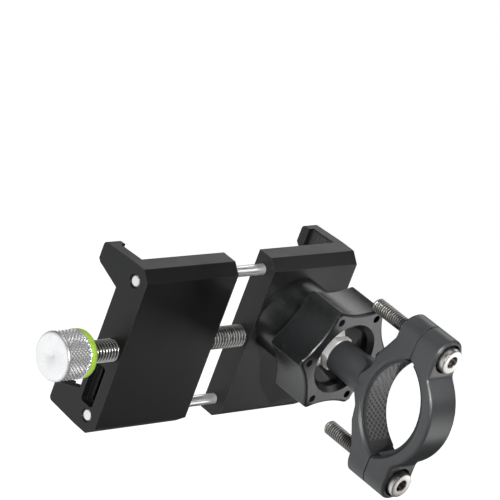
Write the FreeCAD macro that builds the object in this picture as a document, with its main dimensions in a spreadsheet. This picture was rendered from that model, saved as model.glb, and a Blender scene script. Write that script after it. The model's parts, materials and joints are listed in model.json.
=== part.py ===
import FreeCAD, Part
import math
import os
import Sketcher

# Phone mount for a motorcycle handlebar: two sliding jaws on a ball joint and a two-bolt bar clamp.
# Frame: the origin is the middle of the handlebar eye. X runs along the bar and along the jaws' travel,
# Y from the clamp towards the phone, Z up. Millimetres throughout.

# Driving sizes: the name used in every expression, the value in mm or degrees, and what it is.
SIZES = [
    # cutting tools
    ("cut_margin", 1.0, "how far a cutting tool reaches past the face it opens"),
    ("wide_margin", 2.0, "the same for a tool that opens two faces, or a sloping one"),
    # handlebar clamp
    ("clamp_width", 10.4, "clamp along the bar"),
    ("half_gap", 0.1, "half the split between the two clamp halves"),
    ("eye_radius", 15.8, "metal arc of each clamp half"),
    ("eye_chord", 14.5, "half the length of the split line across the eye"),
    ("eye_shift", 6.28, "how far each metal arc's centre lies past the split"),
    ("bar_radius", 15.0, "face of the rubber bar pads"),
    ("pad_groove_radius", 16.8, "floor of the pad grooves"),
    ("bar_pad_width", 8.0, "rubber bar pads along the bar"),
    ("bar_pad_half_height", 13.2, "rubber bar pads from the middle to an end"),
    ("rim_radius", 17.0, "outside arc of the clamp cap"),
        ("ear_end", 24.0, "end of the bolt ears from the middle"),
    ("ear_round", 5.1, "rounded ends of the bolt ears"),
    ("bolt_offset", 18.8, "bolts from the middle"),
    ("base_ear", 6.8, "outside of the base's ears from the split"),
    ("cap_ear", 7.4, "outside of the cap's ears from the split"),
    ("base_flank", 10.3, "base outline between foot and ear, from the split"),
    ("base_flank_height", 10.2, "the same point from the middle"),
    ("base_crown", 13.3, "top of the base outline from the split"),
    ("base_crown_height", 2.6, "half the top of the base outline"),
    ("base_foot", 11.1, "base outline at the foot of the stem, from the split"),
    ("base_foot_height", 6.0, "the same point from the middle"),
    ("base_shoulder", 17.2, "where the base's ears begin"),
    ("cap_shoulder", 13.05, "where the cap's ears begin"),
    ("shoulder_round", 2.5, "hollow between ear and ring"),
    # clamp bolts, M4 x 25 socket head
    ("bolt_radius", 2.0, "bolt shank"),
    ("bolt_head_radius", 3.5, "bolt head"),
    ("bolt_head_height", 4.0, "bolt head"),
    ("bolt_socket_key", 3.0, "hexagon socket across the flats"),
    ("bolt_socket_depth", 2.2, "hexagon socket"),
    ("bolt_seat", 5.1, "under the bolt head from the split"),
    ("bolt_length", 25.0, "bolt under its head"),
    ("bolt_edge", 0.3, "bevel of the head"),
    ("bolt_lead", 0.6, "bevel of the bolt's end"),
    ("bolt_thread_hole", 2.05, "hole in the base's ears"),
    ("bolt_clear_hole", 2.1, "hole in the cap's ears"),
    ("counterbore_radius", 4.1, "recess for the bolt head"),
    # ball joint
    ("stem_tip", 24.9, "end of the stem from the split"),
    ("stem_tip_radius", 4.6, "stem beside the ball"),
    ("stem_neck", 19.0, "where the stem starts to widen"),
    ("stem_neck_radius", 4.8, "stem where it starts to widen"),
    ("stem_root", 10.8, "root of the stem inside the base"),
    ("stem_root_radius", 5.4, "root of the stem"),
    ("ball_centre", 34.2, "ball centre from the split"),
    ("ball_radius", 7.5, "ball"),
    ("ball_neck_radius", 3.6, "neck behind the ball"),
    ("collar_flats", 8.8, "hexagon collar of the ball stud"),
    ("collar_height", 2.3, "hexagon collar of the ball stud"),
    ("stud_thread_radius", 3.0, "M6 end of the ball stud"),
    ("stud_thread_length", 9.0, "M6 end of the ball stud"),
    ("cup_bore", 7.54, "inside of the plastic seat cup"),
    ("cup_outside", 8.4, "outside of the plastic seat cup"),
    ("cup_edge", 3.4, "rim of the seat cup behind the ball centre"),
    ("o_ring_mean", 4.5, "preload ring, middle of its section"),
    ("o_ring_section", 1.0, "preload ring, section radius"),
    ("o_ring_place", 42.476, "preload ring from the split"),
    ("socket_radius", 11.2, "plain part of the ball socket"),
    ("socket_thread_radius", 10.9, "threaded part of the ball socket"),
    ("socket_front", 31.5, "open end of the ball socket"),
    ("socket_thread_end", 36.0, "end of the socket's thread"),
    ("socket_bore", 8.5, "bore around the seat cup"),
    ("socket_step", 40.6, "step behind the seat cup"),
    ("socket_pocket", 5.6, "pocket for the preload ring"),
    ("socket_floor", 43.5, "floor behind the preload ring"),
    ("seat_bore", 7.53, "spherical face of the front seat ring"),
    ("seat_opening", 6.2, "narrowest opening of the front seat ring"),
    ("seat_flare", 9.0, "opening of the seat ring at its front"),
    ("seat_radius", 10.85, "outside of the front seat ring"),
    ("seat_back", 31.4, "back of the front seat ring"),
    ("seat_narrow", 29.9, "where the seat ring is narrowest"),
    ("nut_front", 23.1, "front face of the collar nut"),
    ("nut_back", 35.4, "back rim of the collar nut"),
    ("nut_radius", 16.3, "collar nut over its lobes"),
    ("nut_ridge_round", 0.7, "rounded ridges of the lobes"),
    ("nut_rim_round", 0.8, "rounded front and back outlines of the nut"),
    ("nut_thread_radius", 10.95, "collar nut's thread"),
    ("nut_ledge", 26.6, "ledge inside the collar nut"),
    ("nut_opening", 9.1, "opening for the stem"),
    ("nut_bevel_radius", 10.4, "bevel around the opening"),
    ("nut_bevel_depth", 1.3, "bevel around the opening"),
    ("scallop_radius", 25.0, "hollows between the lobes"),
    ("scallop_distance", 38.4, "centres of the hollows from the axis"),
    ("lobe_hole_radius", 1.1, "small holes in the lobes"),
    ("lobe_hole_circle", 13.4, "circle of the small holes"),
    ("lobe_hole_depth", 6.0, "small holes in the lobes"),
    # jaws
    ("jaw_middle", -18.8, "middle between the jaws along X"),
    ("jaw_height", -7.95, "middle of the jaws along Z"),
    ("plate_back", 45.95, "back face of the jaws"),
    ("plate_front", 53.35, "front face of the jaws"),
    ("jaw_half_height", 24.5, "half the height of the jaws"),
    ("jaw_chamfer", 2.7, "bevel along the jaws' back edges"),
    ("jaw_corner", 1.2, "rounded corners of the claws"),
    ("moving_inner", 6.35, "inner edge of the moving jaw from the middle"),
    ("fixed_inner", 7.08, "inner edge of the fixed jaw from the middle"),
    ("wall_outer", 39.05, "outside of the side walls from the middle"),
    ("wall_inner", 35.8, "inside of the side walls from the middle"),
    ("wall_edge", 55.6, "front edge of the side walls between the claws"),
    ("wall_foot", 15.2, "where the claws start"),
    ("claw_heel", 63.6, "where the claws' slanting edge ends"),
    ("claw_heel_height", 18.0, "the same point from the jaws' middle"),
    ("claw_tip", 64.4, "tip of the claws"),
    ("lip_start", 61.75, "underside of the claws' lips"),
    ("lip_length", 1.6, "how far the lips reach over the phone"),
    ("claw_taper", 0.6, "how much the claws narrow towards their tips"),
    ("edge_round", 0.6, "bevels of the clamp"),
    # rods and screw
    ("rod_radius", 1.5, "guide rods"),
    ("rod_hole", 1.54, "guide rod holes in the moving jaw"),
    ("rod_mouth", 0.45, "bevel of those holes"),
    ("rod_offset", 20.1, "guide rods above and below the screw"),
    ("rod_depth", 50.35, "guide rods from the split"),
    ("rod_start", 57.6, "outer end of the rods, against X"),
    ("rod_end", 14.0, "inner end of the rods along X"),
    ("screw_depth", 49.85, "clamp screw from the split"),
    ("screw_radius", 3.0, "M6 clamp screw"),
    ("screw_hole", 3.05, "hole for the screw in both jaws, threaded in the moving one"),
    ("bearing_face", 6.0, "face of the screw's bearing along X"),
    ("journal_radius", 2.5, "plain end of the screw"),
    ("journal_hole", 2.55, "bearing in the fixed jaw"),
    ("journal_end", 19.0, "end of the screw along X"),
    ("clip_recess_radius", 3.3, "recess for the clip"),
    ("clip_recess_face", 17.2, "floor of that recess along X"),
    ("clip_groove_radius", 1.9, "groove for the clip"),
    ("clip_thickness", 0.7, "clip"),
    ("clip_radius", 3.1, "clip outside"),
    ("clip_mouth", 1.5, "half the clip's mouth"),
    ("clip_gap", 0.05, "end play on each side of the bearing"),
    # window in the moving jaw's wall
    ("window_back", 49.35, "window in the side wall"),
    ("window_front", 54.05, "window in the side wall"),
    ("window_top", 5.5, "top of the window below the screw"),
    ("window_bottom", 17.6, "bottom of the window below the screw"),
    ("window_depth", 2.2, "depth of the window"),
    ("pocket_front", 52.3, "deep pocket behind the window, towards the phone"),
    ("pocket_depth", 14.0, "deep pocket into the jaw"),
    ("window_corner", 1.0, "rounded corners of the window"),
    # knob
    ("knob_radius", 6.5, "knob over its knurl"),
    ("knob_outer", 78.4, "outer face of the knob, against X"),
    ("knob_shoulder", 70.0, "shoulder behind the bumper ring, against X"),
    ("knob_hub", 68.6, "inner end of the knob's hub, against X"),
    ("knob_hub_radius", 4.35, "hub through the bumper ring"),
    ("knob_bevel", 0.7, "bevel of the knob's edges"),
    ("knob_bore_end", 76.0, "floor of the knob's bore, against X"),
    ("bumper_mean", 5.4, "bumper ring, middle of its section"),
    ("bumper_section", 1.0, "bumper ring, section radius"),
    # rubber pads
    ("face_pad_depth", 0.2, "recess for the face pads"),
    ("face_pad_proud", 0.3, "face pads above the jaws"),
    ("face_pad_half_height", 21.5, "face pads"),
    ("face_pad_margin", 2.0, "from the face pad to the jaw's inner edge"),
    ("face_pad_gap", 1.8, "from the face pad to the side wall, just past the claws' lips"),
    ("claw_pad_depth", 0.8, "recess for the claw pads"),
    ("claw_pad_proud", 0.33, "claw pads above the wall"),
    ("claw_pad_height", 6.0, "claw pads"),
    ("claw_pad_margin", 0.8, "from the claw pads to the jaws' ends"),
    ("claw_pad_start", 54.4, "claw pads from the split"),
    ("claw_pad_end", 61.4, "claw pads from the split"),
    # screws that hold the socket, M3 countersunk
    ("socket_screw_circle", 7.8, "their distance from the ball axis"),
    ("socket_screw_radius", 1.5, "shank"),
    ("socket_screw_head", 2.8, "head"),
    ("socket_screw_key", 2.0, "hexagon socket across the flats"),
    ("socket_screw_key_depth", 1.2, "hexagon socket"),
    ("socket_screw_tip", 41.4, "end of the screws from the split"),
    ("socket_screw_angle", 10.0, "outer screws above the horizontal, degrees"),
]

NUT_LOBES = 6

value = {name: size for name, size, meaning in SIZES}

doc = FreeCAD.newDocument("phone_handlebar_mount")
sheet = doc.addObject("Spreadsheet::Sheet", "sizes")
for row, (name, size, meaning) in enumerate(SIZES, start=1):
    sheet.set(f"A{row}", name)
    sheet.set(f"B{row}", str(size))
    sheet.set(f"C{row}", meaning)
    sheet.setAlias(f"B{row}", name)
doc.recompute()


# A size is written as a sum of names and numbers, such as "cap_ear - half_gap". The two functions below
# read it once as a number, to place the geometry, and once as an expression that keeps it tied to the sheet.
def number(text):
    total, sign = 0.0, 1.0
    for word in text.split():
        if word in ("+", "-"):
            sign = 1.0 if word == "+" else -1.0
        else:
            total += sign * (value[word] if word in value else float(word))
            sign = 1.0
    return total


def formula(text):
    words = [f"sizes.{word}" if word in value else word for word in text.split()]
    joined = " ".join(words)
    return joined if words[0] not in ("+", "-") else "0 " + joined


def negative(text):
    """The same size on the other side of zero."""
    flipped = ["- " + text.split()[0]] if text.split()[0] not in ("+", "-") else []
    words = text.split() if not flipped else text.split()[1:]
    swap = {"+": "-", "-": "+"}
    return " ".join(flipped + [swap.get(word, word) for word in words])


def origin_plane(body, role):
    return next(item for item in body.Origin.OriginFeatures if item.Role == role)


def new_body(label):
    body = doc.addObject("PartDesign::Body", label)
    body.Label = label
    return body


def new_sketch(body, name, role, offset="0"):
    sketch = body.newObject("Sketcher::SketchObject", name)
    sketch.AttachmentSupport = [(origin_plane(body, role), "")]
    sketch.MapMode = "FlatFace"
    sketch.setExpression(".AttachmentOffset.Base.z", formula(offset))
    return sketch


def arc_between(start, end, radius, side):
    """The shorter arc from start to end, with its centre on the left (side 1) or on the right (side -1)."""
    chord = end - start
    height = math.sqrt(radius**2 - (chord.Length / 2) ** 2)
    across = FreeCAD.Vector(-chord.y, chord.x, 0).normalize()
    centre = (start + end) * 0.5 + across * height * side
    first, last = (start, end) if side > 0 else (end, start)
    angles = [math.atan2(p.y - centre.y, p.x - centre.x) for p in (first, last)]
    circle = Part.Circle(centre, FreeCAD.Vector(0, 0, 1), radius)
    return Part.ArcOfCircle(circle, angles[0], angles[1])


def outline(sketch, corners):
    """A closed outline. A corner is (across, up), or (across, up, radius, side) where an arc leaves it."""
    points = [FreeCAD.Vector(number(c[0]), number(c[1]), 0) for c in corners]
    ends = []
    for i, corner in enumerate(corners):
        start, end = points[i], points[(i + 1) % len(points)]
        if len(corner) == 2:
            index = sketch.addGeometry(Part.LineSegment(start, end), False)
            ends.append((index, 1, 2))
        else:
            arc = arc_between(start, end, number(corner[2]), corner[3])
            index = sketch.addGeometry(arc, False)
            ends.append((index, 1, 2) if corner[3] > 0 else (index, 2, 1))
    for i, (index, start, end) in enumerate(ends):
        following = ends[(i + 1) % len(ends)]
        sketch.addConstraint(Sketcher.Constraint("Coincident", index, end, following[0], following[1]))
    for i, corner in enumerate(corners):
        index, start = ends[i][0], ends[i][1]
        for kind, text in (("DistanceX", corner[0]), ("DistanceY", corner[1])):
            place = number(text)
            if abs(place) < 1e-9:
                axis = -2 if kind == "DistanceX" else -1
                sketch.addConstraint(Sketcher.Constraint("PointOnObject", index, start, axis))
                continue
            constraint = Sketcher.Constraint(kind, -1, 1, index, start, place)
            added = sketch.addConstraint(constraint)
            sketch.setExpression(f"Constraints[{added}]", formula(text))
        if len(corner) == 4:
            added = sketch.addConstraint(Sketcher.Constraint("Radius", index, number(corner[2])))
            sketch.setExpression(f"Constraints[{added}]", formula(corner[2]))


def circle(sketch, across, up, radius):
    place = FreeCAD.Vector(number(across), number(up), 0)
    index = sketch.addGeometry(
        Part.Circle(place, FreeCAD.Vector(0, 0, 1), number(radius)), False
    )
    for kind, text in (("DistanceX", across), ("DistanceY", up)):
        if abs(number(text)) < 1e-9:
            axis = -2 if kind == "DistanceX" else -1
            sketch.addConstraint(Sketcher.Constraint("PointOnObject", index, 3, axis))
            continue
        added = sketch.addConstraint(Sketcher.Constraint(kind, -1, 1, index, 3, number(text)))
        sketch.setExpression(f"Constraints[{added}]", formula(text))
    added = sketch.addConstraint(Sketcher.Constraint("Radius", index, number(radius)))
    sketch.setExpression(f"Constraints[{added}]", formula(radius))


def mirrored(half):
    """An outline given from the middle outwards, completed by its mirror image in the sketch's X axis."""
    below = []
    for i in range(len(half) - 1, -1, -1):
        corner = (half[i][0], negative(half[i][1]))
        arc = half[i - 1][2:] if i > 0 else ()
        below.append(corner + arc)
    return list(half) + below


def padded(body, sketch, length, symmetric=False, reverse=False):
    pad = body.newObject("PartDesign::Pad", "pad_" + sketch.Name)
    pad.Profile = sketch
    if symmetric:
        pad.SideType = "Symmetric"
    pad.Reversed = reverse
    pad.setExpression("Length", formula(length))
    doc.recompute()
    return pad


def pocketed(body, sketch, length, symmetric=False, reverse=False):
    """Cuts the sketch out of the body, and stops the build if it removed nothing."""
    before = body.Shape.Volume
    pocket = body.newObject("PartDesign::Pocket", "pocket_" + sketch.Name)
    pocket.Profile = sketch
    if symmetric:
        pocket.SideType = "Symmetric"
    pocket.Reversed = reverse
    pocket.setExpression("Length", formula(length))
    doc.recompute()
    if body.Shape.Volume > before - 0.01:
        raise RuntimeError(f"{pocket.Name} cut nothing")
    return pocket


def turned(body, name, role, corners, axis):
    """A solid of revolution about the sketch's horizontal or vertical axis."""
    sketch = new_sketch(body, name, role)
    outline(sketch, corners)
    turn = body.newObject("PartDesign::Revolution", "turn_" + name)
    turn.Profile = sketch
    turn.ReferenceAxis = (sketch, [axis])
    turn.Angle = 360
    doc.recompute()
    return turn


def rounded(body, name, radius, keep, kind="Fillet"):
    """Rounds (or bevels) the edges of the body that keep accepts."""
    tip = body.Tip
    chosen = [f"Edge{i}" for i, edge in enumerate(tip.Shape.Edges, start=1) if keep(edge)]
    if not chosen:
        raise RuntimeError(f"{name} found no edges")
    feature = body.newObject(f"PartDesign::{kind}", name)
    feature.Base = (tip, chosen)
    feature.setExpression("Radius" if kind == "Fillet" else "Size", formula(radius))
    doc.recompute()
    return feature


def along(edge, direction):
    """Is the edge a straight line in this direction?"""
    if edge.Curve.TypeId != "Part::GeomLine":
        return False
    return abs(edge.Curve.Direction.dot(FreeCAD.Vector(*direction))) > 0.999


def placed(item, across="0", depth="0", height="0"):
    for axis, text in (("x", across), ("y", depth), ("z", height)):
        item.setExpression(f".Placement.Base.{axis}", formula(text))
    return item


def cylinder(name, radius, length, place=("0", "0", "0"), direction="y"):
    """A cylinder that starts at place and runs along +X or +Y."""
    item = doc.addObject("Part::Cylinder", name)
    item.setExpression("Radius", formula(radius))
    item.setExpression("Height", formula(length))
    turn = {"x": ((0, 1, 0), 90), "y": ((1, 0, 0), -90)}[direction]
    item.Placement.Rotation = FreeCAD.Rotation(FreeCAD.Vector(*turn[0]), turn[1])
    return placed(item, *place)


def hexagon(name, flats, length, place):
    """A hexagon bar, flats wide, that starts at place and runs along +Y, with a corner towards +X."""
    item = doc.addObject("Part::Prism", name)
    item.Polygon = 6
    item.setExpression("Circumradius", formula(flats) + " / sqrt(3)")
    item.setExpression("Height", formula(length))
    item.Placement.Rotation = FreeCAD.Rotation(FreeCAD.Vector(1, 0, 0), -90)
    return placed(item, *place)


def sphere(name, radius, depth):
    item = doc.addObject("Part::Sphere", name)
    item.setExpression("Radius", formula(radius))
    return placed(item, "0", depth, "0")


def box(name, low, size):
    item = doc.addObject("Part::Box", name)
    for side, text in zip(("Length", "Width", "Height"), size):
        item.setExpression(side, formula(text))
    return placed(item, *low)


def torus(name, mean, section, direction):
    item = doc.addObject("Part::Torus", name)
    item.setExpression("Radius1", formula(mean))
    item.setExpression("Radius2", formula(section))
    turn = {"x": ((0, 1, 0), 90), "y": ((1, 0, 0), -90)}[direction]
    item.Placement.Rotation = FreeCAD.Rotation(FreeCAD.Vector(*turn[0]), turn[1])
    return item


def cut(name, base, tool):
    item = doc.addObject("Part::Cut", name)
    item.Base, item.Tool = base, tool
    doc.recompute()
    return item


def common(name, base, tool):
    item = doc.addObject("Part::Common", name)
    item.Base, item.Tool = base, tool
    doc.recompute()
    return item


def joined(name, *shapes):
    item = doc.addObject("Part::MultiFuse", name)
    item.Shapes = list(shapes)
    item.Refine = True
    doc.recompute()
    return item


def collected(name, *shapes):
    """Separate solids that share one node."""
    item = doc.addObject("Part::Compound", name)
    item.Links = list(shapes)
    doc.recompute()
    return item


# --- handlebar clamp ---------------------------------------------------------------------------------


def bar_pad(name, side):
    """A curved rubber pad that lines one clamp half, and the groove it sits in. side is 1 for the base."""
    body = new_body(name)
    across = (lambda text: text) if side > 0 else negative
    sketch = new_sketch(body, name + "_section", "YZ_Plane")
    face = math.sqrt(value["bar_radius"] ** 2 - value["bar_pad_half_height"] ** 2)
    back = math.sqrt(value["pad_groove_radius"] ** 2 - value["bar_pad_half_height"] ** 2)
    face_text = f"{face:.6f} - eye_shift"
    back_text = f"{back:.6f} - eye_shift"
    corners = [
        (across(face_text), "- bar_pad_half_height", "bar_radius", side),
        (across(face_text), "bar_pad_half_height"),
        (across(back_text), "bar_pad_half_height", "pad_groove_radius", -side),
        (across(back_text), "- bar_pad_half_height"),
    ]
    outline(sketch, corners)
    padded(body, sketch, "bar_pad_width", symmetric=True)
    return body


def round_shoulders(body, depth, height):
    """Hollows out the corners where the bolt ears meet the ring."""
    rounded(
        body,
        body.Label + "_shoulders",
        "shoulder_round",
        lambda edge: along(edge, (1, 0, 0))
        and abs(edge.CenterOfMass.y - depth) < 0.01
        and abs(abs(edge.CenterOfMass.z) - height) < 0.01,
    )


def round_ears(body):
    """Rounds the ends of the bolt ears about the bolts."""
    rounded(
        body,
        body.Label + "_ear_ends",
        "ear_round",
        lambda edge: along(edge, (0, 1, 0))
        and abs(abs(edge.CenterOfMass.z) - value["ear_end"]) < 0.01,
    )


def break_rims(body, name, size):
    """Bevels the outline on both faces of a clamp half, outside the bolt ears."""
    half_width = value["clamp_width"] / 2
    rounded(
        body,
        name,
        size,
        lambda edge: abs(abs(edge.CenterOfMass.x) - half_width) < 0.01
        and abs(edge.BoundBox.XLength) < 0.01
        and abs(edge.CenterOfMass.y) > value["half_gap"] + 1
        and abs(edge.CenterOfMass.z) < value["ear_end"] - value["ear_round"],
        kind="Chamfer",
    )


def clamp_base():
    """The half that carries the stem: a ring half, two threaded ears and a tapered stem."""
    body = new_body("clamp_base_body")
    sketch = new_sketch(body, "base_section", "YZ_Plane")
    half = [
        ("base_crown", "base_crown_height"),
        ("base_foot", "base_foot_height"),
        ("base_flank", "base_flank_height"),
        ("base_ear", "base_shoulder"),
        ("base_ear", "ear_end"),
        ("half_gap", "ear_end"),
        ("half_gap", "eye_chord"),
    ]
    corners = mirrored(half)
    corners[6] = corners[6] + ("eye_radius", -1)
    outline(sketch, corners)
    padded(body, sketch, "clamp_width", symmetric=True)
    round_shoulders(body, value["base_ear"], value["base_shoulder"])
    round_ears(body)
    break_rims(body, "base_rims", "edge_round")
    holes = new_sketch(body, "base_holes", "XZ_Plane")
    circle(holes, "0", "bolt_offset", "bolt_thread_hole")
    circle(holes, "0", "- bolt_offset", "bolt_thread_hole")
    pocketed(body, holes, "base_ear + cut_margin")
    turned(
        body,
        "stem_section",
        "XY_Plane",
        [
            ("0", "stem_root"),
            ("stem_root_radius", "stem_root"),
            ("stem_neck_radius", "stem_neck"),
            ("stem_tip_radius", "stem_tip"),
            ("0", "stem_tip"),
        ],
        "V_Axis",
    )
    bore = cylinder(
        "stem_bore",
        "stud_thread_radius",
        "stud_thread_length + cut_margin",
        ("0", "stem_tip - stud_thread_length", "0"),
    )
    hollow = cut("base_with_bore", body, bore)
    room = cylinder(
        "eye_room",
        "eye_radius",
        "clamp_width + clamp_width",
        ("- clamp_width", "- eye_shift", "0"),
        "x",
    )
    clear = cut("base_with_eye", hollow, room)
    return cut("clamp_base", clear, bar_pad("base_pad_groove", 1))


def clamp_cap():
    """The loose half: a ring half with a counterbored ear at each end."""
    body = new_body("clamp_cap_body")
    sketch = new_sketch(body, "cap_section", "YZ_Plane")
    half = [
        ("- cap_ear", "cap_shoulder"),
        ("- cap_ear", "ear_end"),
        ("- half_gap", "ear_end"),
        ("- half_gap", "eye_chord"),
    ]
    corners = mirrored(half)
    corners[3] = corners[3] + ("eye_radius", 1)
    corners[7] = corners[7] + ("rim_radius", -1)
    outline(sketch, corners)
    padded(body, sketch, "clamp_width", symmetric=True)
    round_shoulders(body, -value["cap_ear"], value["cap_shoulder"])
    round_ears(body)
    break_rims(body, "cap_rims", "edge_round")
    holes = new_sketch(body, "cap_holes", "XZ_Plane")
    circle(holes, "0", "bolt_offset", "bolt_clear_hole")
    circle(holes, "0", "- bolt_offset", "bolt_clear_hole")
    pocketed(body, holes, "cap_ear + cut_margin", reverse=True)
    heads = new_sketch(body, "cap_counterbores", "XZ_Plane", "bolt_seat")
    circle(heads, "0", "bolt_offset", "counterbore_radius")
    circle(heads, "0", "- bolt_offset", "counterbore_radius")
    pocketed(body, heads, "cap_ear", reverse=True)
    return cut("clamp_cap", body, bar_pad("cap_pad_groove", -1))


def clamp_bolt(name, height):
    """An M4 socket head bolt along +Y."""
    body = new_body(name + "_blank")
    turned(
        body,
        name + "_section",
        "XY_Plane",
        [
            ("0", "- bolt_seat - bolt_head_height"),
            ("bolt_head_radius - bolt_edge", "- bolt_seat - bolt_head_height"),
            ("bolt_head_radius", "- bolt_seat - bolt_head_height + bolt_edge"),
            ("bolt_head_radius", "- bolt_seat"),
            ("bolt_radius", "- bolt_seat"),
            ("bolt_radius", "bolt_length - bolt_seat - bolt_lead"),
            ("bolt_radius - bolt_lead", "bolt_length - bolt_seat"),
            ("0", "bolt_length - bolt_seat"),
        ],
        "V_Axis",
    )
    placed(body, "0", "0", height)
    key = hexagon(
        name + "_socket",
        "bolt_socket_key",
        "bolt_socket_depth",
        ("0", "- bolt_seat - bolt_head_height", height),
    )
    return cut(name, body, key)


# --- ball joint --------------------------------------------------------------------------------------


def ball_stud():
    """A polished ball on a neck, with a hexagon collar and an M6 end in the stem."""
    ball = sphere("ball", "ball_radius", "ball_centre")
    neck = cylinder(
        "ball_neck", "ball_neck_radius", "ball_centre - stem_tip", ("0", "stem_tip", "0")
    )
    collar = hexagon("ball_collar", "collar_flats", "collar_height", ("0", "stem_tip", "0"))
    thread = cylinder(
        "ball_thread",
        "stud_thread_radius",
        "stud_thread_length",
        ("0", "stem_tip - stud_thread_length", "0"),
    )
    return joined("ball_stud", ball, neck, collar, thread)


def seat_cup():
    """A thin plastic cup behind the ball."""
    shell = cut(
        "cup_shell",
        sphere("cup_outer", "cup_outside", "ball_centre"),
        sphere("cup_inner", "cup_bore", "ball_centre"),
    )
    behind = cylinder(
        "cup_side", "cup_outside + cut_margin", "cup_outside", ("0", "ball_centre + cup_edge", "0")
    )
    return common("seat_cup", shell, behind)


def preload_ring():
    """A rubber ring that presses the cup on the ball."""
    return placed(
        torus("preload_o_ring", "o_ring_mean", "o_ring_section", "y"), "0", "o_ring_place", "0"
    )


def ball_socket():
    """The round boss behind the fixed jaw: threaded outside, stepped inside."""
    body = new_body("ball_socket_body")
    turned(
        body,
        "socket_section",
        "XY_Plane",
        [
            ("socket_bore", "socket_front"),
            ("socket_thread_radius", "socket_front"),
            ("socket_thread_radius", "socket_thread_end"),
            ("socket_radius", "socket_thread_end"),
            ("socket_radius", "plate_back"),
            ("0", "plate_back"),
            ("0", "socket_floor"),
            ("socket_pocket", "socket_floor"),
            ("socket_pocket", "socket_step"),
            ("socket_bore", "socket_step"),
        ],
        "V_Axis",
    )
    return cut("ball_socket", body, socket_screw_tools("socket_tap"))


def socket_screw_places():
    """Where the three screws stand around the ball axis, along X and up."""
    for angle in (value["socket_screw_angle"], 90.0, 180.0 - value["socket_screw_angle"]):
        turn = math.radians(angle)
        radius = value["socket_screw_circle"]
        yield radius * math.cos(turn), radius * math.sin(turn)


def socket_screw_tools(name):
    """The three screws with their heads carried on to the plate's front face."""
    tools = []
    for i, (across, height) in enumerate(socket_screw_places()):
        shank = cylinder(
            f"{name}_{i}",
            "socket_screw_radius",
            "plate_front - socket_screw_tip",
            (f"{across:.6f}", "socket_screw_tip", f"{height:.6f}"),
        )
        head = doc.addObject("Part::Cone", f"{name}_head_{i}")
        head.setExpression("Radius1", formula("socket_screw_radius"))
        head.setExpression("Radius2", formula("socket_screw_head"))
        head.setExpression("Height", formula("socket_screw_head - socket_screw_radius"))
        head.Placement.Rotation = FreeCAD.Rotation(FreeCAD.Vector(1, 0, 0), -90)
        depth = "plate_front - face_pad_depth - socket_screw_head + socket_screw_radius"
        placed(head, f"{across:.6f}", depth, f"{height:.6f}")
        tools += [shank, head]
    return joined(name, *tools)


def socket_screws():
    """Three countersunk screws through the fixed jaw into the socket, flush with the pad recess."""
    room = cylinder("socket_screw_room", "socket_radius", "plate_front - face_pad_depth")
    whole = common("screws_whole", socket_screw_tools("screw_blank"), room)
    keys = []
    for i, (across, height) in enumerate(socket_screw_places()):
        depth = "plate_front - face_pad_depth - socket_screw_key_depth"
        place = (f"{across:.6f}", depth, f"{height:.6f}")
        keys.append(hexagon(f"screw_key_{i}", "socket_screw_key", "socket_screw_head", place))
    return cut("socket_screws", whole, joined("screw_keys", *keys))


def seat_ring():
    """The ring in front of the ball: spherical at the back, flared at the front."""
    body = new_body("seat_ring_body")
    turned(
        body,
        "seat_section",
        "XY_Plane",
        [
            ("seat_flare", "nut_ledge"),
            ("seat_radius", "nut_ledge"),
            ("seat_radius", "seat_back"),
            ("seat_opening", "seat_back"),
            ("seat_opening", "seat_narrow"),
        ],
        "V_Axis",
    )
    return cut("seat_ring", body, sphere("seat_ball", "seat_bore", "ball_centre"))


def off_axis(edge):
    """Distance of the middle of an edge from the ball axis."""
    middle = edge.valueAt((edge.FirstParameter + edge.LastParameter) / 2)
    return math.hypot(middle.x, middle.z)


def collar_nut():
    """The six-lobed locking nut around the ball joint."""
    body = new_body("collar_nut")
    turned(
        body,
        "nut_section",
        "XY_Plane",
        [
            ("nut_bevel_radius", "nut_front"),
            ("nut_radius", "nut_front"),
            ("nut_radius", "nut_back"),
            ("nut_thread_radius", "nut_back"),
            ("nut_thread_radius", "nut_ledge"),
            ("nut_opening", "nut_ledge"),
            ("nut_opening", "nut_front + nut_bevel_depth"),
        ],
        "V_Axis",
    )
    hollow = new_sketch(body, "scallop", "XZ_Plane")
    circle(hollow, "0", "scallop_distance", "scallop_radius")
    pocket = pocketed(body, hollow, "nut_back + cut_margin")
    repeat(body, pocket)
    outside = value["lobe_hole_circle"] - value["lobe_hole_radius"]
    rounded(
        body,
        "nut_ridges",
        "nut_ridge_round",
        lambda edge: along(edge, (0, 1, 0)) and off_axis(edge) > outside,
    )
    rounded(
        body,
        "nut_rims",
        "nut_rim_round",
        lambda edge: edge.BoundBox.YLength < 0.01 and off_axis(edge) > outside,
    )
    holes = new_sketch(body, "lobe_hole", "XZ_Plane", "- nut_front - lobe_hole_depth")
    turn = math.radians(180 / NUT_LOBES * 2)
    across = value["lobe_hole_circle"] * math.cos(turn)
    height = value["lobe_hole_circle"] * math.sin(turn)
    circle(holes, f"{across:.6f}", f"{height:.6f}", "lobe_hole_radius")
    pocket = pocketed(body, holes, "lobe_hole_depth + cut_margin", reverse=True)
    repeat(body, pocket)
    return body


def repeat(body, feature):
    """Repeats a cut around the ball axis, once for each lobe."""
    pattern = body.newObject("PartDesign::PolarPattern", "round_" + feature.Name)
    pattern.Originals = [feature]
    pattern.Axis = (origin_plane(body, "Y_Axis"), [""])
    pattern.Angle = 360
    pattern.Occurrences = NUT_LOBES
    body.Tip = pattern
    doc.recompute()


# --- jaws --------------------------------------------------------------------------------------------


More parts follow.
